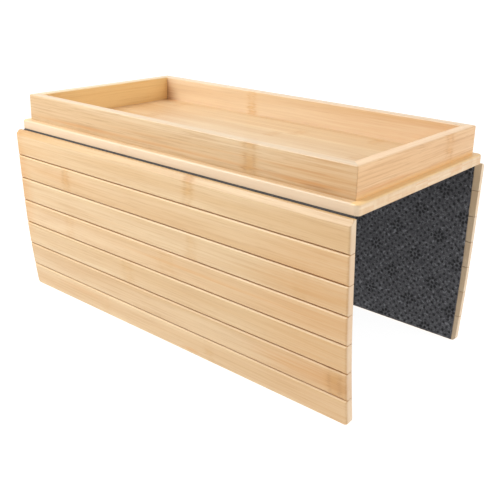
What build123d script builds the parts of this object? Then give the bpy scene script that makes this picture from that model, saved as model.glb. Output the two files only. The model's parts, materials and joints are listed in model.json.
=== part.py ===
from build123d import *
from math import cos, radians, sin
import os

os.makedirs("parts", exist_ok=True)

# Sofa arm tray: a shallow bamboo tray between two slatted flaps that hang down an arm's sides.
# One felt sheet runs under the board and behind every slat, and its bends are the hinges.
# X runs along the arm, Y across it and Z up. The origin is the middle of the felt face that
# rests on the arm. Lengths are in millimetres and angles in degrees.

# Tray walls
tray_length = 400.0
tray_width = 197.0
wall_height = 26.5
wall_thickness = 10.0
wall_corner_radius = 1.0
wall_rim_radius = 1.5

# Base board, which stands out past the walls as a narrow ledge all round
ledge_width = 6.5
board_thickness = 9.0
board_corner_radius = 4.0
board_edge_radius = 2.0

# Felt sheet, split into strips along its hinge lines
felt_thickness = 1.0
felt_split = 0.6
felt_hem = 0.5  # bare strip of wood along the free edge of each flap
felt_inset = 4.0  # bare strip of wood at both ends of the board and of every slat

# Slats
slat_width = 24.7
first_slat_width = 26.0  # the slat beside the board is a little wider
slat_thickness = 7.0
slat_gap = 0.4
groove_radius = 1.8  # eased edges on both sides of a groove
flap_rim_radius = 2.0  # round-over along the ends and the free edge of a flap
flap_corner_radius = 4.0
bevel_height = 4.2  # bevel along the top of each flap, measured down the first slat's face
bevel_depth = 4.2
fold_reach = 0.8  # the felt folds down this far out from the board's side
fold_gap = 0.1  # from that fold to the first slat's top

# Lean of each slat, from the board down, in from upright as the flap hangs at rest
rest_leans = (2.9, 3.0, 3.3, 4.2, 5.7, 7.4, 8.0)

board_length = tray_length + 2 * ledge_width
board_width = tray_width + 2 * ledge_width
board_top = felt_thickness + board_thickness
slat_length = board_length
felt_length = board_length - 2 * felt_inset
fold_line = board_width / 2 + fold_reach
slat_count = len(rest_leans)


def save(piece, name):
    piece.part.label = name
    export_step(piece.part, f"parts/{name}.step")


# Tray: a mitred ring of four walls on the board

with BuildPart() as wall_ring:
    with BuildSketch(Plane.XY.offset(board_top)):
        RectangleRounded(tray_length, tray_width, wall_corner_radius)
        inside_length = tray_length - 2 * wall_thickness
        inside_width = tray_width - 2 * wall_thickness
        Rectangle(inside_length, inside_width, mode=Mode.SUBTRACT)
    extrude(amount=wall_height)
    fillet(wall_ring.faces().sort_by(Axis.Z)[-1].edges(), wall_rim_radius)


def make_wall(name, mitre_outline):
    with BuildPart() as wall:
        add(wall_ring.part)
        with BuildSketch(Plane.XY.offset(board_top)):
            Polygon(*mitre_outline, align=None)
        extrude(amount=wall_height, mode=Mode.INTERSECT)
    save(wall, name)


# The mitres run in at 45 degrees from the tray's corners and meet on its middle line
right = tray_length / 2
back = tray_width / 2
meeting = right - back
make_wall("front_wall", [(-right, -back), (right, -back), (meeting, 0), (-meeting, 0)])
make_wall("back_wall", [(right, back), (-right, back), (-meeting, 0), (meeting, 0)])
make_wall("left_wall", [(-right, back), (-right, -back), (-meeting, 0)])
make_wall("right_wall", [(right, -back), (right, back), (meeting, 0)])

with BuildPart() as base_board:
    with BuildSketch(Plane.XY.offset(felt_thickness)):
        RectangleRounded(board_length, board_width, board_corner_radius)
    extrude(amount=board_thickness)
    fillet(base_board.faces().sort_by(Axis.Z)[-1].edges(), board_edge_radius)
save(base_board, "base_board")

# The felt under the board reaches out to the line where each flap folds down
with BuildPart() as arm_felt:
    with BuildSketch():
        Rectangle(felt_length, 2 * fold_line - felt_split)
    extrude(amount=felt_thickness)
save(arm_felt, "arm_felt")


# Flaps: every slat and its felt are drawn on a plane through the hinge line above them, which
# lies on the felt's free face. The plane's Y runs up the slat and its Z out of the flap.

def make_slat(name, plane, top, width, is_first, is_last):
    outward = Axis(plane.origin, plane.z_dir)
    upward = Axis(plane.origin, plane.y_dir)
    with BuildPart() as slat:
        with BuildSketch(plane.offset(felt_thickness)) as outline:
            with Locations((0, top - width / 2)):
                Rectangle(slat_length, width)
            if is_last:
                fillet(outline.vertices().group_by(Axis.Y)[0], flap_corner_radius)
        extrude(amount=slat_thickness)
        # The flap's ends and free edge are rounded over, but not the edges beside a groove
        rim_edges = slat.faces().sort_by(outward)[-1].edges().sort_by(upward)
        if not is_last:
            rim_edges = rim_edges[1:]
        fillet(rim_edges[:-1], flap_rim_radius)
        # The slat's cross-section eases those, right out to the slat's ends
        across = Plane(origin=plane.origin, x_dir=plane.y_dir, z_dir=plane.x_dir)
        with BuildSketch(across) as section:
            with Locations((top - width / 2, felt_thickness + slat_thickness / 2)):
                Rectangle(width, slat_thickness)
            outer_corners = section.vertices().group_by(Axis.Y)[-1].sort_by(Axis.X)
            if is_first:
                outer_corners = outer_corners[:-1]
            if is_last:
                outer_corners = outer_corners[1:]
            fillet(outer_corners, groove_radius)
            if is_first:
                face = felt_thickness + slat_thickness
                bevel = [(top, face), (top, face - bevel_depth), (top - bevel_height, face)]
                Polygon(*bevel, align=None, mode=Mode.SUBTRACT)
        extrude(amount=slat_length / 2, both=True, mode=Mode.INTERSECT)
    save(slat, name)


def make_slat_felt(name, plane, top, bottom):
    with BuildPart() as strip:
        with BuildSketch(plane):
            with Locations((0, (top + bottom) / 2)):
                Rectangle(felt_length, top - bottom)
        extrude(amount=felt_thickness)
    save(strip, name)


def make_flap(flap, side):
    """Hang one flap; side is -1 at the front and 1 at the back."""
    hinge_y = fold_line
    hinge_z = 0
    half_gap = fold_gap
    width = first_slat_width
    for count, lean in enumerate(rest_leans, start=1):
        out_y = cos(radians(lean))
        out_z = -sin(radians(lean))
        plane = Plane(
            origin=(0, side * hinge_y, hinge_z),
            x_dir=(-side, 0, 0),
            z_dir=(0, side * out_y, out_z),
        )
        is_last = count == slat_count
        reach = half_gap + width + slat_gap / 2
        felt_bottom = half_gap + width - felt_hem if is_last else reach - felt_split / 2
        make_slat(f"{flap}_slat_{count}", plane, -half_gap, width, count == 1, is_last)
        make_slat_felt(f"{flap}_felt_{count}", plane, -felt_split / 2, -felt_bottom)
        hinge_y += reach * out_z
        hinge_z -= reach * out_y
        half_gap = slat_gap / 2
        width = slat_width


make_flap("front", -1)
make_flap("back", 1)
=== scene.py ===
import json
import math

import bmesh
import bpy
from mathutils import Matrix, Vector, noise


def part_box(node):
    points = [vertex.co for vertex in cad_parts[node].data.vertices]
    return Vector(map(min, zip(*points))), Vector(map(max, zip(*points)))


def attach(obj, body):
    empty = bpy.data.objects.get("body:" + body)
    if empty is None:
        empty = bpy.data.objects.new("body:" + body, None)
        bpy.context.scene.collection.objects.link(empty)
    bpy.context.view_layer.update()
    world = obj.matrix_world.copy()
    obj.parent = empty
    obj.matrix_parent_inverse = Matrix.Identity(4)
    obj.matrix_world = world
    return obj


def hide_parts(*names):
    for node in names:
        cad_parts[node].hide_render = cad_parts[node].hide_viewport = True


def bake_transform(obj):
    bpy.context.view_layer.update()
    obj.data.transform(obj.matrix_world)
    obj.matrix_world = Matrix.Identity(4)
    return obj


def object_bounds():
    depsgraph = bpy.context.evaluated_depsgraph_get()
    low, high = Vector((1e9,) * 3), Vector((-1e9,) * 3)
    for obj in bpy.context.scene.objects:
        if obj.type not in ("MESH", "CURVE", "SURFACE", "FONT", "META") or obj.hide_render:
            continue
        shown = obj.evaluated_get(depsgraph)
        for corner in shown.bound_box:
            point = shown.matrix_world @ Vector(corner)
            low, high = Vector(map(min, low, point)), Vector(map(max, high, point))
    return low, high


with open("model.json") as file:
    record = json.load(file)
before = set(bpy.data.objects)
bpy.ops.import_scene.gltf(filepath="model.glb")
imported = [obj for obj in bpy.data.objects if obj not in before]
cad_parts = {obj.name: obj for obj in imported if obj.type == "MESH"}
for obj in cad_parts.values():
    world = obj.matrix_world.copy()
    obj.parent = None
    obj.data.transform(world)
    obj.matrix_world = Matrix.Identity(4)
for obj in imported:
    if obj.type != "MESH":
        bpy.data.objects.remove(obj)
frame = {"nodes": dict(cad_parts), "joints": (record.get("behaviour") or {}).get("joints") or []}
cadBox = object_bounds()
nodes = frame["nodes"]
hinges = {joint["name"]: joint for joint in frame["joints"]}
mm = 0.001
sides = {"front": -1, "back": 1}
slatCount = sum(1 for name in nodes if name.startswith("front_slat_"))
feltThickness = (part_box("arm_felt")[1].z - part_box("arm_felt")[0].z) / mm
print("frame loaded:", len(nodes), "CAD pieces,", len(hinges), "hinges")


# Camera

camera = {
    "place": (473.0, -546.4, 175.5),  # mm, in the part's frame
    "azimuth": 39.795,
    "elevation": 17.889,
    "roll": 1.349,
    "lens": 54.279,
    "sensor": 36.0,
    "shift": (0.0009, -0.0973),  # the photo is cut from a taller picture
    "clip": (0.01, 50),
}


def placeCamera():
    azimuth, elevation, roll = (math.radians(camera[key]) for key in ("azimuth", "elevation", "roll"))
    back = Vector((
        math.sin(azimuth) * math.cos(elevation),
        -math.cos(azimuth) * math.cos(elevation),
        math.sin(elevation),
    ))
    right = Vector((0, 0, 1)).cross(back).normalized()
    up = back.cross(right)
    tiltedRight = right * math.cos(roll) + up * math.sin(roll)
    tiltedUp = up * math.cos(roll) - right * math.sin(roll)
    data = bpy.data.cameras.new("photoCamera")
    data.sensor_width = camera["sensor"]
    data.lens = camera["lens"]
    data.shift_x, data.shift_y = camera["shift"]
    data.clip_start, data.clip_end = camera["clip"]
    holder = bpy.data.objects.new("photoCamera", data)
    bpy.context.scene.collection.objects.link(holder)
    turn = Matrix((tiltedRight, tiltedUp, back)).transposed().to_4x4()
    holder.matrix_world = Matrix.Translation(Vector(camera["place"]) * mm) @ turn
    bpy.context.scene.camera = holder


placeCamera()
print("camera placed")


# Small helpers for shader trees

def feed(tree, socket, value):
    if isinstance(value, bpy.types.NodeSocket):
        tree.links.new(value, socket)
    else:
        socket.default_value = value


def calc(tree, operation, *values):
    node = tree.nodes.new("ShaderNodeMath")
    node.operation = operation
    for socket, value in zip(node.inputs, values):
        feed(tree, socket, value)
    return node.outputs[0]


def vectorCalc(tree, operation, *values):
    node = tree.nodes.new("ShaderNodeVectorMath")
    node.operation = operation
    for socket, value in zip(node.inputs, values):
        feed(tree, socket, value)
    return node.outputs["Value" if operation in ("LENGTH", "DOT_PRODUCT") else "Vector"]


def fade(tree, value, low, high, lowOut=0.0, highOut=1.0):
    node = tree.nodes.new("ShaderNodeMapRange")
    node.interpolation_type = "SMOOTHSTEP"
    names = ("Value", "From Min", "From Max", "To Min", "To Max")
    for name, given in zip(names, (value, low, high, lowOut, highOut)):
        feed(tree, node.inputs[name], given)
    return node.outputs["Result"]


def tint(tree, share, first, second, way="MIX"):
    node = tree.nodes.new("ShaderNodeMix")
    node.data_type = "RGBA"
    node.blend_type = way
    for index, value in ((0, share), (6, first), (7, second)):
        feed(tree, node.inputs[index], value)
    return node.outputs[2]


def shaded(tree, finish, level):
    # A colour made darker or lighter by one level
    return vectorCalc(tree, "MULTIPLY", finish, joinUp(tree, level, level, level))


def toned(tree, share, finish, tone):
    return tint(tree, share, finish, (*tone, 1), "MULTIPLY")


def times(tree, first, second):
    return calc(tree, "MULTIPLY", first, second)


def unsigned(tree, value):
    return calc(tree, "ABSOLUTE", value)


def hypotenuse(tree, first, second):
    squares = calc(tree, "ADD", times(tree, first, first), times(tree, second, second))
    return calc(tree, "SQRT", squares)


def stretchedNoise(tree, place, stretch, detail, rough=0.5, twist=0.0):
    node = tree.nodes.new("ShaderNodeTexNoise")
    feed(tree, node.inputs["Vector"], vectorCalc(tree, "MULTIPLY", place, stretch))
    node.inputs["Scale"].default_value = 1.0
    node.inputs["Detail"].default_value = detail
    node.inputs["Roughness"].default_value = rough
    node.inputs["Distortion"].default_value = twist
    return node.outputs["Fac"]


def chance(tree, value):
    node = tree.nodes.new("ShaderNodeTexWhiteNoise")
    node.noise_dimensions = "1D"
    feed(tree, node.inputs["W"], value)
    return node.outputs["Value"]


def splitUp(tree, vector):
    node = tree.nodes.new("ShaderNodeSeparateXYZ")
    feed(tree, node.inputs[0], vector)
    return node.outputs


def joinUp(tree, *values):
    node = tree.nodes.new("ShaderNodeCombineXYZ")
    for socket, value in zip(node.inputs, values):
        feed(tree, socket, value)
    return node.outputs[0]


def surfaceNormal(tree):
    return tree.nodes.new("ShaderNodeTexCoord").outputs["Normal"]


def colour(red, green, blue):
    def linear(share):
        return share / 12.92 if share <= 0.04045 else ((share + 0.055) / 1.055) ** 2.4
    return (linear(red / 255), linear(green / 255), linear(blue / 255), 1)


def newMaterial(name):
    material = bpy.data.materials.new(name)
    material.use_nodes = True
    return material, material.node_tree, material.node_tree.nodes["Principled BSDF"]


# Studio: a white surround that lights less from above and much less from behind the camera, a soft
# lamp high at the front left, and weaker ones close at the front left and far off at the right

studio = {
    "surroundLow": 1.0,
    "surroundHigh": 0.85,
    "surroundFade": (0.22, 0.75),  # from low to high: sine of the height above the horizon
    "frontShare": 0.12,  # how much light is left on the side where the camera stands
    "frontFade": (-0.6, 0.1),  # from that side to the rest
    "lamps": {
        "frontLeftLamp": {"place": (-0.55, -0.60, 0.30), "size": (0.45, 0.45), "power": 1.5},
        "rightLamp": {"place": (1.5, 0.25, 0.6), "size": (1.0, 1.0), "power": 4.5},
        "frontHighLamp": {
            "place": (-0.45, -0.65, 0.80), "size": (0.7, 0.7), "power": 10.8, "colour": (0.93, 0.97, 1.0),
        },
    },
    "aim": (0, 0, -0.03),
    "floorSize": 80.0,
    "floorGap": 0.2 * mm,  # under the flaps' free edges
    "floorColour": (0.28, 0.28, 0.28, 1),
    "floorRoughness": 0.9,
    "floorShine": 0.1,
    "floorGlow": 0.92,  # lifts the floor to the photo's clean white
}


def addLamp(name, lamp):
    data = bpy.data.lights.new(name, "AREA")
    data.shape = "RECTANGLE"
    data.size, data.size_y = lamp["size"]
    data.energy = lamp["power"]
    data.color = lamp.get("colour", (1, 1, 1))
    holder = bpy.data.objects.new(name, data)
    holder.location = lamp["place"]
    toward = Vector(studio["aim"]) - Vector(lamp["place"])
    holder.rotation_euler = toward.to_track_quat("-Z", "Y").to_euler()
    bpy.context.scene.collection.objects.link(holder)


def addFloor():
    half, low = studio["floorSize"] / 2, cadBox[0].z - studio["floorGap"]
    sheet = bmesh.new()
    corners = ((-half, -half), (half, -half), (half, half), (-half, half))
    sheet.faces.new([sheet.verts.new((x, y, low)) for x, y in corners])
    mesh = bpy.data.meshes.new("studioFloor")
    sheet.to_mesh(mesh)
    sheet.free()
    floor = bpy.data.objects.new("studioFloor", mesh)
    bpy.context.scene.collection.objects.link(floor)
    material, tree, shader = newMaterial("studioFloorPaint")
    shader.inputs["Base Color"].default_value = studio["floorColour"]
    shader.inputs["Roughness"].default_value = studio["floorRoughness"]
    shader.inputs["Specular IOR Level"].default_value = studio["floorShine"]
    shader.inputs["Emission Color"].default_value = (1, 1, 1, 1)
    shader.inputs["Emission Strength"].default_value = studio["floorGlow"]
    mesh.materials.append(material)


def lightStudio():
    world = bpy.data.worlds.new("whiteSurround")
    bpy.context.scene.world = world
    world.use_nodes = True
    tree = world.node_tree
    surround = tree.nodes["Background"]
    surround.inputs["Color"].default_value = (1, 1, 1, 1)
    toward = splitUp(tree, tree.nodes.new("ShaderNodeTexCoord").outputs["Generated"])
    strength = fade(tree, toward[2], *studio["surroundFade"], studio["surroundLow"], studio["surroundHigh"])
    front = fade(tree, toward[1], *studio["frontFade"], studio["frontShare"], 1.0)
    # The surround is plain white where it is seen directly, and dims only as a light
    seen = tree.nodes.new("ShaderNodeLightPath").outputs["Is Camera Ray"]
    feed(tree, surround.inputs["Strength"], calc(tree, "MAXIMUM", times(tree, strength, front), seen))
    for name, lamp in studio["lamps"].items():
        addLamp(name, lamp)
    addFloor()
    bpy.context.scene.view_settings.view_transform = "Standard"


lightStudio()
print("studio lit")


# Bamboo: one planed strip a slat or wall, and strips side by side in the board

bamboo = {
    "pale": colour(224, 193, 149),
    "honey": colour(214, 177, 128),
    "fibre": colour(186, 141, 92),
    "bundle": colour(166, 114, 56),
    "amber": colour(211, 152, 84),
    "knuckle": colour(203, 151, 82),
    "seam": colour(168, 124, 78),
    "endGrain": colour(230, 212, 190),
    # Painted shade, for the grooves between slats and a wall's inside corner
    "paintedShade": colour(150, 82, 22),
    # Painted highlight for the slats' upper eased edges, partly paler sanded wood
    "paintedEdgeHighlight": colour(251, 224, 180),
    # Painted bounce light for a wall's foot
    "paintedFootLight": colour(250, 204, 140),
    # Painted light for the ledge's top beside the walls
    "ledge": colour(253, 212, 146),
    # Paler inner layers; also used for painted light on the slats' backs and a painted sheen on edges and
    # rims
    "edge": colour(240, 216, 184),
    "seedStep": 0.137,  # how far along the grain, in m, one piece's starts from the next one's
    "stripStep": 0.83,  # and at most one strip's from the next one's
    "stripSeed": 7.31,
    "stray": 2.6 * mm,  # how far the grain strays from straight
    "wobble": 5 * mm,  # how far a knuckle strays from straight, in long waves
    "comb": 12 * mm,  # and fibre by fibre
    "knuckleReach": 2.2,  # half widths from a knuckle's middle to where its tan is gone
    "knuckleLine": 0.75,  # and to its darker lines
    "lineReach": 3.0 * mm,
    "lineShare": 0.6,
    "flameHeart": 0.2,  # share of a flame that is at full strength
    "sawnLoss": 0.75,  # how much less of the fibres shows on sawn ends
    "paintedShadeShare": 0.6,
    # Partly the bevel's sawn surface, partly painted shade on the flap's upward-facing bevel
    "bevelShadeTone": (0.92, 0.86, 0.76),
    "shine": 0.5,
    "coat": 0.22,
    "coatRoughness": 0.30,
    "reliefStrength": 0.55,
    "reliefDepth": 0.05 * mm,
    "knuckleDip": 0.12,
    "edgeRadius": 0.45 * mm,
    "edgeSamples": 6,
}

# The noises that draw the grain: stretch along, across and into it, detail, roughness
grainNoises = {
    "stray": ((5, 38, 38), 2),
    "tone": ((3.2, 70, 70), 2.0),
    "fibre": ((14, 620, 620), 4.0, 0.6),
    "bundle": ((45, 1500, 1500), 2.0),
    "streak": ((5, 230, 230), 2.0),
    "blotch": ((55, 130, 130), 3.0),
    "wobble": ((9, 95, 95), 2),
    "comb": ((30, 720, 720), 2),
    "layers": ((20, 13, 520), 3.0, 0.6),
}

# How something comes in over a noise, a distance in m, or the way a face turns: from, to, and
# its share at both, which is 0 and 1 where none is given
woodFades = {
    "blotch": (0.34, 0.62, 0.3, 1.0),
    "sawn": (0.6, 0.95),
    "honey": (0.34, 0.68),
    "fibre": (0.42, 0.74, 0.0, 0.30),
    "bundle": (0.58, 0.76, 0.0, 0.22),
    "streak": (0.56, 0.80),
    "flameFibre": (0.3, 0.6, 0.45, 1.0),
    "knuckleFibre": (0.36, 0.60, 0.45, 1.0),
    "knuckleBundle": (0.35, 0.62, 0.1, 0.75),
    "seam": (0.05 * mm, 0.35 * mm, 0.25, 0.0),
    "seamDip": (0.0, 0.3 * mm, 0.6, 0.0),
    "stripTone": (0, 1, 0.975, 1.025),
    "darkLayers": (0.45, 0.66, 0.0, 0.6),
    "paleLayers": (0.30, 0.46, 0.35, 0.0),
    "shadeFromEnd": (3.0 * mm, 6.0 * mm),
    "highlightIn": (0.06, 0.3),
    "highlightOut": (0.7, 0.9, 0.5, 0.0),
    "shadeAbove": (0.9, 1.2),
    "shadeBelow": (0.34, 0.64),
    "bevel": (0.4, 0.6),
    "back": (0.6, 0.95, 0.0, 0.6),
    "edge": (0.2, 0.9),
    "top": (0.2, 0.7),
    "paintedInsideLight": (0.5, 0.95),
    "rise": (0.3, 0.7),
    "roughness": (0.3, 0.75, 0.36, 0.50),
}


def woodFade(tree, value, name, *shares):
    return fade(tree, value, *woodFades[name], *shares)


def grainNoise(tree, place, name):
    return stretchedNoise(tree, place, *grainNoises[name])


def grainWave(tree, place, name):
    # A noise that swings by up to half its amount to both sides
    return times(tree, calc(tree, "SUBTRACT", grainNoise(tree, place, name), 0.5), bamboo[name])


def knuckleShares(tree, along, wobble, blotch, knuckle):
    # One knuckle across a strip: a soft tan band, a little darker near each of its sides
    place, strength, halfWidth = knuckle
    away = unsigned(tree, calc(tree, "ADD", calc(tree, "SUBTRACT", along, place * mm), wobble))
    band = fade(tree, away, 0.0, halfWidth * bamboo["knuckleReach"] * mm, strength, 0.0)
    toLine = unsigned(tree, calc(tree, "SUBTRACT", away, halfWidth * bamboo["knuckleLine"] * mm))
    line = fade(tree, toLine, 0.0, bamboo["lineReach"], strength * bamboo["lineShare"], 0.0)
    return times(tree, band, blotch), times(tree, line, blotch)


def flameShare(tree, along, wide, flame):
    # An amber streak, long and thin along the grain; a few broad ones paint shade and shadow instead
    place, height, halfLength, halfHeight, strength = flame[:5]
    x = calc(tree, "DIVIDE", calc(tree, "SUBTRACT", along, place * mm), halfLength * mm)
    z = calc(tree, "DIVIDE", calc(tree, "SUBTRACT", wide, height * mm), halfHeight * mm)
    return fade(tree, hypotenuse(tree, x, z), bamboo["flameHeart"], 1.0, strength, 0.0)


def readGrain(tree, look):
    # Where a point lies along and across the grain, and what each noise is there
    place = splitUp(tree, tree.nodes.new("ShaderNodeTexCoord").outputs["Object"])
    along, wide, deep = (place[axis] for axis in look["axes"])
    wood = {"along": along, "wide": wide}
    start = look["seed"] * bamboo["seedStep"]
    shift = 0.0
    if "strip" in look:
        width = look["strip"] * mm
        strip = calc(tree, "FLOOR", calc(tree, "DIVIDE", wide, width))
        middle = times(tree, calc(tree, "ADD", strip, 0.5), width)
        toMiddle = unsigned(tree, calc(tree, "SUBTRACT", wide, middle))
        wood["toSeam"] = calc(tree, "SUBTRACT", width / 2, toMiddle)
        wood["stripChance"] = chance(tree, calc(tree, "ADD", strip, look["seed"] * bamboo["stripSeed"]))
        shift = times(tree, wood["stripChance"], bamboo["stripStep"])
    runs = calc(tree, "ADD", calc(tree, "ADD", along, start), shift)
    across = calc(tree, "ADD", wide, start)
    inward = calc(tree, "ADD", deep, start)
    straight = joinUp(tree, runs, across, inward)
    stray = grainWave(tree, straight, "stray")
    grain = joinUp(tree, runs, calc(tree, "ADD", across, stray), calc(tree, "ADD", inward, stray))
    for name in ("tone", "fibre", "bundle", "streak"):
        wood[name] = grainNoise(tree, grain, name)
    facing = splitUp(tree, surfaceNormal(tree))[look["axes"][0]]
    wood["sawn"] = woodFade(tree, unsigned(tree, facing), "sawn")
    wood["runs"] = runs
    wood["straight"] = straight
    wood["blotch"] = woodFade(tree, grainNoise(tree, straight, "blotch"), "blotch")
    wood["wobble"] = calc(tree, "ADD", grainWave(tree, straight, "wobble"), grainWave(tree, grain, "comb"))
    return wood


def paintGrain(tree, look, wood):
    planed = calc(tree, "SUBTRACT", 1.0, times(tree, wood["sawn"], bamboo["sawnLoss"]))
    planed = times(tree, planed, look["grain"])
    finish = tint(tree, woodFade(tree, wood["tone"], "honey"), bamboo["pale"], bamboo["honey"])
    for name in ("fibre", "bundle"):
        finish = tint(tree, times(tree, woodFade(tree, wood[name], name), planed), finish, bamboo[name])
    share = woodFade(tree, wood["streak"], "streak", 0.0, look["amber"])
    finish = tint(tree, share, finish, bamboo["amber"])
    for flame in look.get("flames", ()):
        share = flameShare(tree, wood["along"], wood["wide"], flame)
        share = times(tree, share, woodFade(tree, wood["fibre"], "flameFibre"))
        finish = tint(tree, share, finish, bamboo[flame[5] if len(flame) > 5 else "amber"])
    return finish


def paintKnuckles(tree, look, wood, finish, rise):
    if "strip" in look:
        # The board's strips have their knuckles at uneven places
        period = look["knucklePeriod"] * mm
        folded = calc(tree, "SUBTRACT", calc(tree, "FLOORED_MODULO", wood["runs"], period), period / 2)
        knuckles = [(folded, look["knuckle"])]
    else:
        knuckles = [(wood["along"], knuckle) for knuckle in look["knuckles"]]
    for run, knuckle in knuckles:
        band, line = knuckleShares(tree, run, wood["wobble"], wood["blotch"], knuckle)
        bandShare = times(tree, band, woodFade(tree, wood["fibre"], "knuckleFibre"))
        finish = tint(tree, bandShare, finish, bamboo["knuckle"])
        lineShare = times(tree, line, woodFade(tree, wood["bundle"], "knuckleBundle"))
        finish = tint(tree, lineShare, finish, bamboo["bundle"])
        rise = calc(tree, "SUBTRACT", rise, times(tree, band, bamboo["knuckleDip"]))
    return finish, rise


def paintStrips(tree, wood, finish, rise):
    # The strips differ a little in tone, and a fine seam parts them
    finish = tint(tree, woodFade(tree, wood["toSeam"], "seam"), finish, bamboo["seam"])
    level = woodFade(tree, wood["stripChance"], "stripTone")
    unsawn = calc(tree, "SUBTRACT", 1.0, wood["sawn"])
    finish = tint(tree, unsawn, finish, shaded(tree, finish, level))
    return finish, calc(tree, "SUBTRACT", rise, woodFade(tree, wood["toSeam"], "seamDip"))


def paintLayers(tree, wood, finish):
    # The board's thin layers show as level streaks on its ends
    layers = grainNoise(tree, wood["straight"], "layers")
    for name, tone in (("darkLayers", "amber"), ("paleLayers", "edge")):
        share = times(tree, wood["sawn"], woodFade(tree, layers, name))
        finish = tint(tree, share, finish, bamboo[tone])
    return finish


def paintGrooves(tree, look, wood, finish):
    # Painted shade deep in the grooves above and below a slat, on the faces turned into the groove, but not
    # right out at its ends
    facingDown = vectorCalc(tree, "DOT_PRODUCT", surfaceNormal(tree), look["downSlat"])
    facingUp = times(tree, facingDown, -1.0)
    toEnd = calc(tree, "SUBTRACT", cadBox[1].x, unsigned(tree, wood["along"]))
    shadeAwayFromEnds = woodFade(tree, toEnd, "shadeFromEnd", 0.0, bamboo["paintedShadeShare"])
    grooveAbove, grooveBelow = look["grooves"]
    if grooveAbove:
        # A painted highlight on the upper eased edge of a slat, where it turns up toward the light, and
        # partly the paler sanded wood there
        highlightShare = times(tree, woodFade(tree, facingUp, "highlightIn"), woodFade(tree, facingUp, "highlightOut"))
        finish = tint(tree, highlightShare, finish, bamboo["paintedEdgeHighlight"])
        share = times(tree, woodFade(tree, facingUp, "shadeAbove"), shadeAwayFromEnds)
        finish = tint(tree, share, finish, bamboo["paintedShade"])
    else:
        # The bevel along the top of the flap is toned a little duller and warmer where it faces up: partly
        # its sawn surface, partly painted shade that takes back light it catches from above
        finish = toned(tree, woodFade(tree, facingUp, "bevel"), finish, bamboo["bevelShadeTone"])
    if grooveBelow:
        share = times(tree, woodFade(tree, facingDown, "shadeBelow"), shadeAwayFromEnds)
        finish = tint(tree, share, finish, bamboo["paintedShade"])
    return finish


def paintFaces(tree, look, wood, finish):
    acrossSide, upSide = look["axes"][1:]
    if "paintedBackLight" in look:
        # Painted light on the backs of the slats, which are bare where the felt stops short of their ends:
        # a paler tint on the faces turned in toward the felt, where little light falls
        facingBack = vectorCalc(tree, "DOT_PRODUCT", surfaceNormal(tree), look["paintedBackLight"])
        finish = tint(tree, woodFade(tree, facingBack, "back"), finish, bamboo["edge"])
    if "paleEdge" in look:
        # The board's long edges and the walls' tops show the paler inner layers, with a painted sheen: they
        # are tinted paler by the way they face
        facingEdge = unsigned(tree, splitUp(tree, surfaceNormal(tree))[acrossSide])
        share = woodFade(tree, facingEdge, "edge", 0.0, look["paleEdge"])
        finish = tint(tree, share, finish, bamboo["edge"])
    finish = toned(tree, 1.0, finish, look["tone"])
    if "ledge" in look:
        # Painted light: the ledge's top beyond the walls is tinted golden, lifting the shade at their feet
        low, high, share = look["ledge"]
        onEnd = fade(tree, unsigned(tree, wood["along"]), low * mm, high * mm, 0.0, share)
        onTop = woodFade(tree, splitUp(tree, surfaceNormal(tree))[upSide], "top")
        finish = tint(tree, times(tree, onEnd, onTop), finish, bamboo["ledge"])
    if "paintedFootLight" in look:
        # Painted bounce light: the wall is a paler amber low down, beside the board's ledge, lifting the
        # shade at its foot
        low, high, share = look["paintedFootLight"]
        share = fade(tree, wood["wide"], low * mm, high * mm, share, 0.0)
        finish = tint(tree, share, finish, bamboo["paintedFootLight"])
    if "paintedInsideLight" in look:
        # Painted light on the face toward the tray's well: a tone that stands in for how it is lit there,
        # brighter and bluer on the back wall, golden on the left wall
        axis, way, insideLightTone = look["paintedInsideLight"]
        facingIn = times(tree, splitUp(tree, surfaceNormal(tree))[axis], way)
        finish = toned(tree, woodFade(tree, facingIn, "paintedInsideLight"), finish, insideLightTone)
    return finish


def bambooMaterial(name, look):
    material, tree, shader = newMaterial(name)
    wood = readGrain(tree, look)
    rise = woodFade(tree, wood["fibre"], "rise")
    finish = paintGrain(tree, look, wood)
    finish, rise = paintKnuckles(tree, look, wood, finish, rise)
    if "strip" in look:
        finish, rise = paintStrips(tree, wood, finish, rise)
    finish = tint(tree, times(tree, wood["sawn"], look["paleEnds"]), finish, bamboo["endGrain"])
    if "strip" in look:
        finish = paintLayers(tree, wood, finish)
    if "grooves" in look:
        finish = paintGrooves(tree, look, wood, finish)
    feed(tree, shader.inputs["Base Color"], paintFaces(tree, look, wood, finish))
    feed(tree, shader.inputs["Roughness"], woodFade(tree, wood["fibre"], "roughness"))
    shader.inputs["Specular IOR Level"].default_value = bamboo["shine"]
    shader.inputs["Coat Weight"].default_value = bamboo["coat"]
    shader.inputs["Coat Roughness"].default_value = bamboo["coatRoughness"]

    relief = tree.nodes.new("ShaderNodeBump")
    relief.inputs["Strength"].default_value = bamboo["reliefStrength"]
    relief.inputs["Distance"].default_value = bamboo["reliefDepth"]
    feed(tree, relief.inputs["Height"], rise)
    if not look.get("tightJoints"):
        softEdge = tree.nodes.new("ShaderNodeBevel")
        softEdge.samples = bamboo["edgeSamples"]
        softEdge.inputs["Radius"].default_value = bamboo["edgeRadius"]
        feed(tree, relief.inputs["Normal"], softEdge.outputs[0])
    feed(tree, shader.inputs["Normal"], relief.outputs[0])
    return material


def dress(nodeName, material):
    mesh = nodes[nodeName].data
    mesh.materials.clear()
    mesh.materials.append(material)


# Board and walls. Knuckles are (place along the grain, strength, half width) in mm, and flames
# (place along, place across, half length, half height, strength, and a colour if it isn't amber).
# Painted light on a ledge or at a wall's foot fades (from, to, strength), and painted light on an inside
# face is (axis, way it faces, tone)

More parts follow.
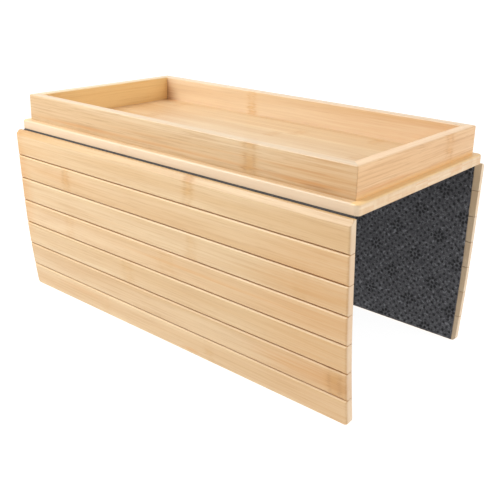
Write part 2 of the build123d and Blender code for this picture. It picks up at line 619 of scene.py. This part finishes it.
board = {
    "axes": (0, 1, 2), "seed": 1, "grain": 1.0, "amber": 0.10, "tone": (1.06, 1.08, 1.16),
    "paleEnds": 0.05, "paleEdge": 0.4,
    "strip": 21, "knucklePeriod": 263, "knuckle": (0.0, 0.5, 5.0),
    # The second flame paints shadow on the tray's floor by its back left corner
    "flames": [(-160, 0, 110, 120, 0.45), (-186, 88, 24, 12, 0.5)],
    "ledge": (199.0, 200.5, 0.72),  # painted light: golden on the ledge's top beside the walls at both ends, lifting the shade at their feet
}
walls = {
    "front_wall": {
        "axes": (0, 2, 1), "seed": 2, "grain": 2.1, "amber": 0.30, "tone": (0.925, 0.915, 0.915),
        "knuckles": [(99, 0.85, 6.5)],
        "flames": [
            (165, 14.5, 60, 3.2, 0.9), (20, 16, 150, 2.4, 0.6), (-120, 15, 90, 2.6, 0.5),
            # The second flame on the next line, broad over the wall's right end, is painted shade
            (170, 24, 70, 8, 0.25), (215, 20, 130, 300, 0.4), (168, 13, 24, 2.2, 0.6, "bundle"),
        ],
    },
    "right_wall": {
        "axes": (1, 2, 0), "seed": 3, "grain": 2.2, "amber": 0.25, "tone": (1.12, 1.02, 0.93),
        "paintedFootLight": (10, 15, 0.9),
        "knuckles": [(48, 0.75, 6)],
        "flames": [(-60, 15, 60, 2.4, 0.6), (30, 13.5, 50, 2.0, 0.35)],
    },
    "back_wall": {
        "axes": (0, 2, 1), "seed": 4, "grain": 0.7, "amber": 0.14, "tone": (1.02, 1.03, 1.06),
        "paintedInsideLight": (1, -1, (1.21, 1.32, 1.56)),
        "knuckles": [(-56, 0.6, 5)],
        # The second flame paints shade into the inside corner at the wall's left end
        "flames": [(130, 24, 150, 40, 0.3), (-196, 8, 32, 40, 0.5, "paintedShade")],
    },
    "left_wall": {
        "axes": (1, 2, 0), "seed": 5, "grain": 0.8, "amber": 0.2, "tone": (1.02, 1.01, 0.98),
        "paintedInsideLight": (0, 1, (1.24, 1.21, 0.98)),
        "knuckles": [(-71, 0.2, 5)],
    },
}


def finishTray():
    dress("base_board", bambooMaterial("bambooBoard", board))
    for name, look in walls.items():
        # The walls' edges are rounded already, and their mitres close up tight
        look.update(paleEnds=0.5, paleEdge=0.5, tightJoints=True)
        dress(name, bambooMaterial("bamboo_" + name, look))


finishTray()
print("tray finished: board and", len(walls), "walls")


def rotated(direction, angle):
    return Vector((direction[0] * math.cos(angle) - direction[1] * math.sin(angle),
                   direction[0] * math.sin(angle) + direction[1] * math.cos(angle)))


def hingeLine(side):
    # Points (outward from the middle, up) in mm where the felt's free face turns, then its free edge
    names = [side + "_flap_hinge"] + [f"{side}_slat_hinge_{k}" for k in range(2, slatCount + 1)]
    points = [Vector((abs(hinges[name]["pos_m"][1]), hinges[name]["pos_m"][2])) / mm for name in names]
    low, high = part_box(f"{side}_felt_{slatCount}")
    nearest, lowest = (low.y if sides[side] > 0 else -high.y) / mm, low.z / mm
    lean = math.atan2(points[-1][0] - nearest, points[-1][1] - lowest)
    points.append(Vector((nearest, lowest + feltThickness * math.sin(lean))))
    return points


# Slats, each with its own knuckles and tone

slats = {
    "axes": (0, 2, 1),
    "grain": 1.3,
    "amber": 0.16,
    "paleEnds": 0.4,
    "leftEnd": (-214, -60, 32, 90, 0.7),  # the front flap is amber close to its left end
    "rightEndShade": (215, -90, 130, 500),  # and its right end is darker amber: painted shade, where less light falls
    "rightEndShades": [0.1, 0.4, 0.45, 0.4, 0.4, 0.5, 0.25],  # slat by slat
    "firstSeed": {"front": 11, "back": 31},
    "frontKnuckles": [
        [(43, 0.75, 5)],
        [(-128, 0.7, 5)],
        [(45, 0.32, 6), (163, 0.25, 6)],
        [(-128, 0.32, 6), (12, 0.28, 9)],
        [(-44, 0.36, 7)],
        [(195, 1.0, 6.5)],
        [(-87, 0.22, 5), (58, 0.3, 4)],
    ],
    "backKnuckles": [
        [(-92, 0.6, 5)],
        [(121, 0.55, 5)],
        [(-14, 0.3, 6)],
        [(-163, 0.6, 5), (70, 0.3, 6)],
        [(25, 0.5, 5)],
        [(-70, 0.35, 6), (178, 0.3, 5)],
        [(96, 0.55, 5)],
    ],
    "frontFlames": [
        [(-200, -14, 90, 40, 0.2)],
        [(-150, -37, 90, 9, 0.3)],
        [(170, -62, 70, 9, 0.2)],
        [(60, -88, 160, 2.5, 0.45)],
        [],
        [(170, -139, 80, 10, 0.45), (198, -141, 13, 9, 0.5, "bundle")],
        [(35, -172, 16, 3, 0.5), (-120, -160, 60, 6, 0.2)],
    ],
    "warmth": [
        (1, 0.995, 0.98), (1, 0.975, 0.94), (1, 0.995, 0.99), (1, 0.985, 0.985),
        (1, 1, 0.99), (1, 0.975, 0.95), (1, 0.99, 0.98),
    ],
    "frontTones": [0.985, 0.975, 0.975, 1.01, 1.0, 0.975, 1.03],
    "backTones": [0.99, 1.01, 0.98, 1.0, 1.015, 0.985, 1.0],
}


def finishSlats():
    for side in sides:
        line = hingeLine(side)
        for index in range(slatCount):
            name = f"{side}_slat_{index + 1}"
            level = slats[side + "Tones"][index]
            down = (line[index + 1] - line[index]).normalized()
            look = {
                **{key: slats[key] for key in ("axes", "grain", "amber", "paleEnds")},
                "seed": slats["firstSeed"][side] + index,
                "knuckles": slats[side + "Knuckles"][index],
                "flames": [],
                "tone": tuple(level * share for share in slats["warmth"][index]),
                "downSlat": (0, sides[side] * down.x, down.y),
                "paintedBackLight": (0, sides[side] * down.y, -down.x),
                "grooves": (index > 0, index < slatCount - 1),
            }
            if side == "front":
                rightEndShade = (*slats["rightEndShade"], slats["rightEndShades"][index])
                look["flames"] = [*slats["frontFlames"][index], rightEndShade, slats["leftEnd"]]
            dress(name, bambooMaterial("bamboo_" + name, look))


finishSlats()
print("slats finished:", 2 * slatCount)


# Felt: one sheet, glued under the board and to the backs of the slats, that bends at each hinge

# Its shape, in mm where it isn't a count, share or angle
felt = {
    "columns": 60,
    "edgeRound": 0.3,
    "bendRadius": 0.8,  # on the free face, where it turns down at the board's edge
    "bendSteps": 8,
    "nearHinge": (0.5, 1.1, 2.0, 3.6, 6.2, 9.4),  # rows of points each side of a hinge
    "boardGap": 3,  # from the last of those rows to the piece under the board
    "boardRows": 24,
    "hemRows": (0, 0.35, 0.7, 0.9),  # shares of the hem's length
    "hemSqueeze": 0.45,  # share of the thickness left at the free edge
    "sharpAngle": 50,
    "flapBendReach": 3.2,  # how far from its hinge a bend blends, at the board and at the slats
    "slatBendReach": 1.2,
    "waviness": 0.07,  # of the free face
    "waves": (0.11, 0.16),  # how tight they are along the board, and down the flap
    "waveSeed": 3.7,
    "edgeWaviness": 0.22,  # of the sheet's ends
    "edgeWaves": (0.35, 0.8),  # down the flap, and through the thickness
    "foldRun": hingeLine("back")[0][0],  # from the sheet's middle to where a flap folds down
    "drawnIn": 2.8,  # the sheet is cut this much narrower at the top of the back flap
    "drawnInRuns": (60, 282.0),  # from the sheet's middle to where that begins and ends
}
boardReach = felt["foldRun"] - felt["nearHinge"][-1] - felt["boardGap"]

# Colours, print and surface of the felt, in mm where it isn't a share
feltLook = {
    "ground": colour(102, 102, 105),
    "groundDark": colour(62, 62, 66),
    "fleck": colour(160, 160, 165),
    "hair": colour(158, 158, 162),
    "dot": colour(14, 14, 17),
    "glue": colour(68, 64, 63),  # the bonded side, dark where the glue has soaked in
    "dotPitch": (7.5, 7.92),  # along the board, and down the flap
    "dotRadius": 1.4,
    "dotEdge": (0.7, 1.3),  # a dot is full inside the first share of its radius, and gone past the second
    "rosettePitch": (45.0, 47.5),
    "rosetteStart": (16.3, 17.9),
    "heartEdge": (1.0, 1.7),
    "ringRadius": 4.6,  # from a rosette's centre to those of its petals
    "petals": 8,
    "petalSize": (1.8, 1.4),
    "petalEdge": (0.75, 1.2),
    "clearEdge": (6.4, 6.6),  # no plain dots nearer to a rosette than this
    "printShake": 1.5,
    "printShakeScale": 260,
    "dotStrength": 0.95,
    "strandStrength": 0.55,
    "foldShadeReach": 60,  # painted shade: darker this near to where the flaps fold down
    "foldShade": 0.74,
    "glueDepth": (0.55, 0.9),  # shares of the thickness
    "roughness": 0.97,
    "dotGloss": 0.3,
    "shine": 0.25,
    "sheen": 0.12,
    "sheenRoughness": 0.6,
    "reliefStrength": 0.8,
    "reliefDepth": 0.22,
    "reliefShares": (0.9, 0.35, 0.5),  # of the fuzz, the strands and the dots
}

# Its noises: stretch, detail, roughness, twist. Strands also have a width
feltNoises = {
    "worn": ((300, 300, 300), 2.0),
    "fuzz": ((380, 380, 380), 4.0, 0.7),
    "flecks": ((290, 360, 300), 1.0, 0.5, 0.6),
    "cloud": ((90, 90, 90), 4.0, 0.7),
}
strands = (
    ((330, 150, 200), 1.0, 0.5, 1.6, 0.022),
    ((140, 360, 200), 1.0, 0.5, 1.3, 0.020),
)

# How something comes in over them: from, to, and its share at both
feltFades = {
    "wornDots": (0.34, 0.56, 0.35, 0.95),
    "wornRosettes": (0.32, 0.52, 0.55, 1.0),
    "cloud": (0.30, 0.70, 0.0, 0.45),
    "fuzz": (0.42, 0.60, 0.0, 0.85),
    "flecks": (0.58, 0.72, 0.0, 0.6),
}


def foldBack(tree, value, pitch, start):
    # Distance, with its sign, to the nearest of a row of lines one pitch apart
    moved = calc(tree, "ADD", value, start)
    return calc(tree, "SUBTRACT", calc(tree, "FLOORED_MODULO", moved, pitch), pitch / 2)


def nearestCentre(tree, x, y, pitch):
    # Way to the nearest centre of two sets, where the second stands half a pitch on, both ways
    across, down = (share * mm for share in pitch)
    first = joinUp(tree, foldBack(tree, x, across, across / 2), foldBack(tree, y, down, down / 2))
    second = joinUp(tree, foldBack(tree, x, across, across), foldBack(tree, y, down, down))
    nearer = calc(tree, "LESS_THAN", vectorCalc(tree, "LENGTH", first), vectorCalc(tree, "LENGTH", second))
    return tint(tree, nearer, second, first)


def printedDots(tree, place):
    # Staggered dots with small rosettes between them: a heart and a ring of petals, slightly shaken
    shake = tree.nodes.new("ShaderNodeTexNoise")
    feed(tree, shake.inputs["Vector"], place)
    shake.inputs["Scale"].default_value = feltLook["printShakeScale"]
    shake.inputs["Detail"].default_value = 2
    shaken = vectorCalc(tree, "SUBTRACT", shake.outputs["Color"], (0.5, 0.5, 0.5))
    shaken = vectorCalc(tree, "SCALE", shaken)
    shaken.node.inputs["Scale"].default_value = feltLook["printShake"] * mm
    printed = splitUp(tree, vectorCalc(tree, "ADD", place, shaken))
    x = calc(tree, "SUBTRACT", printed[0], feltLook["rosetteStart"][0] * mm)
    y = calc(tree, "SUBTRACT", printed[1], feltLook["rosetteStart"][1] * mm)

    dotAway = vectorCalc(tree, "LENGTH", nearestCentre(tree, x, y, feltLook["dotPitch"]))
    centre = splitUp(tree, nearestCentre(tree, x, y, feltLook["rosettePitch"]))
    ringAway = hypotenuse(tree, centre[0], centre[1])
    step = 2 * math.pi / feltLook["petals"]
    angle = foldBack(tree, calc(tree, "ARCTAN2", centre[1], centre[0]), step, step / 2)
    outward = times(tree, ringAway, calc(tree, "COSINE", angle))
    outward = calc(tree, "SUBTRACT", outward, feltLook["ringRadius"] * mm)
    outward = calc(tree, "DIVIDE", outward, feltLook["petalSize"][0] * mm)
    sideways = times(tree, ringAway, calc(tree, "SINE", angle))
    sideways = calc(tree, "DIVIDE", sideways, feltLook["petalSize"][1] * mm)

    inDot, outDot = (feltLook["dotRadius"] * share * mm for share in feltLook["dotEdge"])
    plainDot = fade(tree, dotAway, inDot, outDot, 1.0, 0.0)
    outside = fade(tree, ringAway, *(away * mm for away in feltLook["clearEdge"]))
    heart = fade(tree, ringAway, *(away * mm for away in feltLook["heartEdge"]), 1.0, 0.0)
    petal = fade(tree, hypotenuse(tree, outward, sideways), *feltLook["petalEdge"], 1.0, 0.0)
    worn = stretchedNoise(tree, place, *feltNoises["worn"])
    dots = times(tree, plainDot, times(tree, outside, fade(tree, worn, *feltFades["wornDots"])))
    rosettes = calc(tree, "MAXIMUM", heart, petal)
    rosettes = times(tree, rosettes, fade(tree, worn, *feltFades["wornRosettes"]))
    return calc(tree, "MAXIMUM", dots, rosettes)


def looseStrands(tree, place):
    # Thin light hairs, where a stretched noise passes its middle value
    hairs = []
    for *noiseShape, width in strands:
        line = calc(tree, "SUBTRACT", stretchedNoise(tree, place, *noiseShape), 0.5)
        hairs.append(fade(tree, unsigned(tree, line), 0.0, width, 1.0, 0.0))
    return calc(tree, "MAXIMUM", *hairs)


def feltMaterial():
    material, tree, shader = newMaterial("charcoalFelt")
    unrolled = tree.nodes.new("ShaderNodeAttribute")
    unrolled.attribute_name = "unrolled"
    place = unrolled.outputs["Vector"]
    dots = printedDots(tree, place)
    hairs = looseStrands(tree, place)
    fuzz = stretchedNoise(tree, place, *feltNoises["fuzz"])
    flecks = stretchedNoise(tree, place, *feltNoises["flecks"])
    cloud = stretchedNoise(tree, place, *feltNoises["cloud"])
    finish = tint(tree, fade(tree, cloud, *feltFades["cloud"]), feltLook["ground"], feltLook["groundDark"])
    finish = tint(tree, fade(tree, fuzz, *feltFades["fuzz"]), finish, feltLook["groundDark"])
    finish = tint(tree, fade(tree, flecks, *feltFades["flecks"]), finish, feltLook["fleck"])
    finish = tint(tree, times(tree, hairs, feltLook["strandStrength"]), finish, feltLook["hair"])
    finish = tint(tree, times(tree, dots, feltLook["dotStrength"]), finish, feltLook["dot"])

    run, depth = splitUp(tree, place)[1:3]
    # Painted shade: the felt darkens toward where the flaps fold down under the board
    toFold = unsigned(tree, calc(tree, "SUBTRACT", unsigned(tree, run), felt["foldRun"] * mm))
    level = fade(tree, toFold, 0.0, feltLook["foldShadeReach"] * mm, feltLook["foldShade"], 1.0)
    finish = shaded(tree, finish, level)
    glued = fade(tree, depth, *(feltThickness * share * mm for share in feltLook["glueDepth"]))
    feed(tree, shader.inputs["Base Color"], tint(tree, glued, finish, feltLook["glue"]))
    gloss = times(tree, dots, feltLook["dotGloss"])
    feed(tree, shader.inputs["Roughness"], calc(tree, "SUBTRACT", feltLook["roughness"], gloss))
    shader.inputs["Specular IOR Level"].default_value = feltLook["shine"]
    shader.inputs["Sheen Weight"].default_value = feltLook["sheen"]
    shader.inputs["Sheen Roughness"].default_value = feltLook["sheenRoughness"]

    relief = tree.nodes.new("ShaderNodeBump")
    relief.inputs["Strength"].default_value = feltLook["reliefStrength"]
    relief.inputs["Distance"].default_value = feltLook["reliefDepth"] * mm
    fuzzRise, hairRise, dotRise = (
        times(tree, value, share) for value, share in zip((fuzz, hairs, dots), feltLook["reliefShares"]))
    height = calc(tree, "ADD", calc(tree, "ADD", fuzzRise, hairRise), dotRise)
    feed(tree, relief.inputs["Height"], height)
    feed(tree, shader.inputs["Normal"], relief.outputs[0])
    return material


def station(point, outward, run):
    # Where the sheet's free face passes: its place, the way to its wood, and the run from the middle
    return {"point": point, "outward": outward, "run": run, "squeeze": 1.0}


def feltStations(side):
    # Stations along one half of the sheet, from the board's middle to the flap's free edge.
    # Returns pieces as lists of stations; neighbours share their end stations
    line = hingeLine(side)
    under, up = Vector((1, 0)), Vector((0, 1))
    directions = [under] + [(b - a).normalized() for a, b in zip(line, line[1:])]
    normals = [up] + [Vector((-d[1], d[0])) for d in directions[1:]]
    runs = [line[0][0]]
    for a, b in zip(line, line[1:]):
        runs.append(runs[-1] + (b - a).length)
    middles = [boardReach] + [(a + b) / 2 for a, b in zip(runs, runs[1:])]

    def flat(index, run):
        if index == 0:
            return station(Vector((run, 0)), up, run)
        point = line[index - 1] + directions[index] * (run - runs[index - 1])
        return station(point, normals[index], run)

    radius = felt["bendRadius"]
    turn = math.acos(max(-1, min(1, under.dot(directions[1]))))
    reach = radius * math.tan(turn / 2)
    centre = line[0] - under * reach - up * radius
    pieces = []
    for index in range(slatCount):
        near = [away for away in felt["nearHinge"] if index or away > reach]
        rows = [flat(index, middles[index])]
        rows += [flat(index, runs[index] - away) for away in reversed(near)]
        if index == 0:
            for step in range(felt["bendSteps"] + 1):
                share = step / felt["bendSteps"]
                outward = rotated(up, -turn * share)
                rows.append(station(centre + outward * radius, outward, runs[0] + reach * (2 * share - 1)))
        else:
            between = (normals[index] + normals[index + 1]).normalized()
            rows.append(station(line[index], between, runs[index]))
        rows += [flat(index + 1, runs[index] + away) for away in near]
        rows.append(flat(index + 1, middles[index + 1]))
        pieces.append(rows)
    hemStart, hemEnd = middles[-1], runs[-1]
    hem = [flat(slatCount, hemStart + share * (hemEnd - hemStart)) for share in felt["hemRows"]]
    hem.append(flat(slatCount, hemEnd - felt["edgeRound"]))
    hem.append({**flat(slatCount, hemEnd), "squeeze": felt["hemSqueeze"]})
    pieces.append(hem)
    return line, directions, pieces


def acrossProfile():
    # Points (along the board, through the thickness) once round the felt's section
    low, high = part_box("arm_felt")
    half, thick, ease = high.x / mm, feltThickness, felt["edgeRound"]
    flatHalf = half - ease
    columns = [flatHalf * (2 * i / felt["columns"] - 1) for i in range(felt["columns"] + 1)]
    free = [(x, 0.0) for x in columns]
    edge = [(half, ease), (half, thick - ease)]
    bonded = [(x, thick) for x in reversed(columns)]
    otherEdge = [(-half, thick - ease), (-half, ease)]
    return free + edge + bonded + otherEdge


def drawnIn(run):
    # How far the sheet's ends draw in at a run in mm, from nothing under the board and at the far hem
    start, end = felt["drawnInRuns"]
    fold = felt["foldRun"]
    rise = max(0, min(1, (run - start) / (fold - start)))
    return felt["drawnIn"] * rise * max(0, min(1, (end - run) / (end - fold)))


def feltRing(sheet, unrolled, profile, row, side):
    # The points of one section of the sheet, each with its place on the flat sheet
    flatEnd, sheetEnd = profile[felt["columns"]][0], profile[felt["columns"] + 1][0]
    middle = feltThickness / 2
    run = row["run"] * side
    ring = []
    for x, depth in profile:
        isEnd = abs(x) > flatEnd
        x *= 1 - drawnIn(run) / sheetEnd
        depth = middle + (depth - middle) * row["squeeze"]
        if isEnd:
            downWaves, throughWaves = felt["edgeWaves"]
            x += felt["edgeWaviness"] * noise.noise(Vector((x, run * downWaves, depth * throughWaves)))
        if depth < middle:
            acrossWaves, downWaves = felt["waves"]
            wave = Vector((x * acrossWaves, run * downWaves, felt["waveSeed"]))
            depth += felt["waviness"] * noise.noise(wave)
        spot = row["point"] + row["outward"] * depth
        vertex = sheet.verts.new((x * mm, spot[0] * side * mm, spot[1] * mm))
        vertex[unrolled] = (x * mm, run * mm, depth * mm)
        ring.append(vertex)
    return ring


def feltPiece(name, rows, side):
    profile = acrossProfile()
    columns, count = felt["columns"] + 1, len(profile)
    sheet = bmesh.new()
    unrolled = sheet.verts.layers.float_vector.new("unrolled")
    rings = [feltRing(sheet, unrolled, profile, row, side) for row in rows]
    for ring, after in zip(rings, rings[1:]):
        for i in range(count):
            sheet.faces.new((ring[i], ring[(i + 1) % count], after[(i + 1) % count], after[i]))
    for ring in (rings[0], rings[-1]):
        for i in range(columns - 1):
            sheet.faces.new((ring[i], ring[i + 1], ring[count - 4 - i], ring[count - 3 - i]))
        sheet.faces.new(ring[columns - 1:columns + 3])
        sheet.faces.new((*ring[count - 3:], ring[0]))
    bmesh.ops.recalc_face_normals(sheet, faces=sheet.faces)
    mesh = bpy.data.meshes.new(name)
    sheet.to_mesh(mesh)
    sheet.free()
    mesh.shade_smooth()
    mesh.set_sharp_from_angle(angle=math.radians(felt["sharpAngle"]))
    mesh.materials.append(feltFinish)
    piece = bpy.data.objects.new(name, mesh)
    bpy.context.scene.collection.objects.link(piece)
    length = sum((b["run"] - a["run"]) for a, b in zip(rows, rows[1:])) * mm
    meanDrawnIn = sum(drawnIn(row["run"] * side) for row in rows) / len(rows)
    width = 2 * (max(x for x, depth in profile) - meanDrawnIn) * mm
    return piece, (width, length)


def layFelt():
    for sideName, side in sides.items():
        line, directions, pieces = feltStations(sideName)
        for index, rows in enumerate(pieces[:-1]):
            number = index + 1
            piece, flat = feltPiece(f"{sideName}_felt_bend_{number}", rows, side)
            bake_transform(piece)
            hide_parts(f"{sideName}_felt_{number}")
        piece, flat = feltPiece(sideName + "_felt_hem", pieces[-1], side)
        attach(piece, f"{sideName}_slat_{slatCount}")
        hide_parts(f"{sideName}_felt_{slatCount}")
    runs = [boardReach * (2 * i / felt["boardRows"] - 1) for i in range(felt["boardRows"] + 1)]
    rows = [station(Vector((run, 0)), Vector((0, 1)), run) for run in runs]
    piece, flat = feltPiece("felt_under_board", rows, 1)
    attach(piece, "tray")
    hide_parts("arm_felt")


feltFinish = feltMaterial()
layFelt()
print("felt laid")
